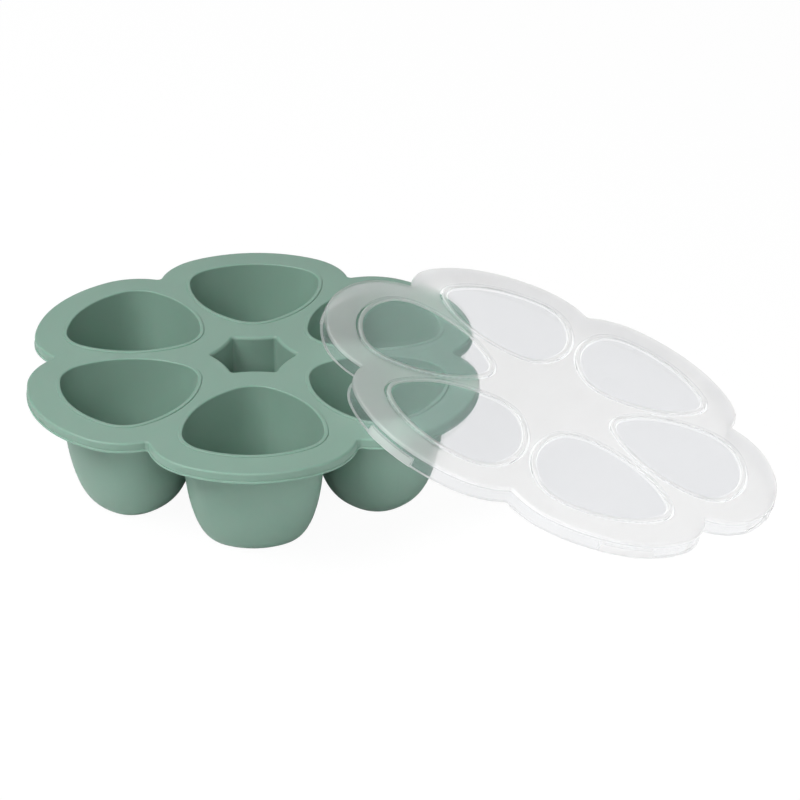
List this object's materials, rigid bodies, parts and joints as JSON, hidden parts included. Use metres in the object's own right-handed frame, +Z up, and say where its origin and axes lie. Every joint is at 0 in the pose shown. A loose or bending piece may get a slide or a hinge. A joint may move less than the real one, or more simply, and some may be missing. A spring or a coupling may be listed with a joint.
{
  "type": "freezer tray",
  "caption": "Soft flower-shaped tray of drop-shaped food cups round a star-shaped hole, with a stiff translucent lid leaning against it.",
  "frame": {"origin": "middle of the footprint of tray and leaning lid, on the surface they stand on", "axes": "+Z up, +X from the tray towards the low edge of the leaning lid"},
  "size_m": [0.3646, 0.261, 0.0851],
  "materials": {
    "silicone": "soft matt silicone, sage green",
    "lid_plastic": "translucent polypropylene, frosted deck with clear glossy windows"
  },
  "bodies": {
    "tray": {"tray": "silicone"},
    "lid": {"lid": "lid_plastic"}
  },
  "joints": [
    {"name": "lid_lift", "type": "slide", "parent": "tray", "child": "lid", "axis": [0, 0, 1], "range_m": [0, 0.12]}
  ]
}
